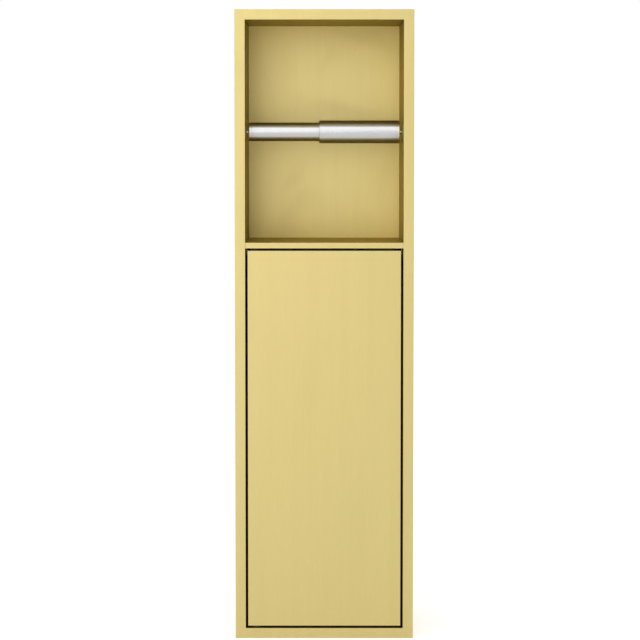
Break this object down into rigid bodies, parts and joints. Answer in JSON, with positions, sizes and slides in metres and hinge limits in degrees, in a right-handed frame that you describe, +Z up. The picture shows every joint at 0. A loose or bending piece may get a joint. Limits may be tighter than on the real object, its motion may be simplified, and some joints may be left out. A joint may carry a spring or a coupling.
{
  "type": "recessed toilet paper holder",
  "caption": "Wall-recessed steel toilet roll niche with a sprung telescopic spindle above a push-to-open bay for spare rolls.",
  "frame": {"origin": "middle of the recess, on the surface of the finished wall, which the back of the border rests on", "axes": "+X to the right as the user faces the unit, +Y into the wall, +Z up"},
  "size_m": [0.17, 0.135, 0.6],
  "materials": {
    "gold_steel": "satin gold vapour coating on stainless sheet",
    "tube_steel": "satin stainless tube",
    "pin_steel": "turned stainless",
    "spring_steel": "drawn spring wire",
    "zinc_plate": "zinc-plated steel",
    "block_metal": "machined aluminium",
    "magnet": "nickel-plated magnet",
    "black_nylon": "moulded nylon",
    "grey_plastic": "moulded plastic",
    "foam": "closed-cell foam",
    "silicone": "clear silicone"
  },
  "bodies": {
    "housing": {"housing_sleeve": "gold_steel", "back_panel": "gold_steel", "flange_seal": "foam", "divider_shelf": "gold_steel", "shelf_rivets": "zinc_plate", "left_spindle_socket": "grey_plastic", "right_spindle_socket": "grey_plastic", "upper_pivot_bush": "black_nylon", "lower_pivot_bush": "black_nylon", "door_stop_angle": "gold_steel", "latch_bracket": "zinc_plate", "bracket_rivets": "zinc_plate", "latch_housing": "black_nylon", "latch_screws": "zinc_plate", "latch_spring": "spring_steel"},
    "latch_plunger": {"latch_plunger": "grey_plastic", "latch_magnet": "magnet"},
    "door": {"door_front_pan": "gold_steel", "door_back_sheet": "gold_steel", "door_stiffener": "zinc_plate", "upper_hinge_block": "block_metal", "lower_hinge_block": "block_metal", "hinge_block_screws": "zinc_plate", "lower_hinge_pin": "pin_steel", "spring_grub_screw": "zinc_plate", "strike_plate": "zinc_plate", "strike_rivets": "zinc_plate", "door_bumpers": "silicone", "upper_pin_spring": "spring_steel"},
    "upper_pin": {"upper_hinge_pin": "pin_steel", "thumb_stud": "pin_steel"},
    "spindle_outer": {"thick_tube": "tube_steel", "thick_end_cap": "pin_steel", "sliding_ring": "black_nylon", "spindle_spring": "spring_steel"},
    "spindle_inner": {"thin_tube": "tube_steel", "thin_end_cap": "pin_steel", "spring_seat": "block_metal"}
  },
  "joints": [
    {"name": "door_hinge", "type": "hinge", "parent": "housing", "child": "door", "pos_m": [-0.065, 0.001, -0.108], "axis": [0, 0, -1], "range_deg": [0, 110]},
    {"name": "latch_push", "type": "slide", "parent": "housing", "child": "latch_plunger", "axis": [0, -1, 0], "range_m": [0, 0.014], "deforming": ["latch_spring"]},
    {"name": "upper_pin_retract", "type": "slide", "parent": "door", "child": "upper_pin", "axis": [0, 0, -1], "range_m": [0, 0.0065], "stiffness_N_per_m": 400, "springref_m": -0.004, "deforming": ["upper_pin_spring"]},
    {"name": "spindle_spin", "type": "hinge", "parent": "housing", "child": "spindle_outer", "pos_m": [0, 0.048, 0.18475], "axis": [1, 0, 0], "continuous": true},
    {"name": "spindle_squeeze", "type": "slide", "parent": "spindle_outer", "child": "spindle_inner", "axis": [1, 0, 0], "range_m": [0, 0.012], "stiffness_N_per_m": 300, "springref_m": -0.02, "deforming": ["spindle_spring"]}
  ],
  "couplings": [
    {"joint": "latch_push", "follows": "door_hinge", "m_per_rad": 0.00729}
  ]
}
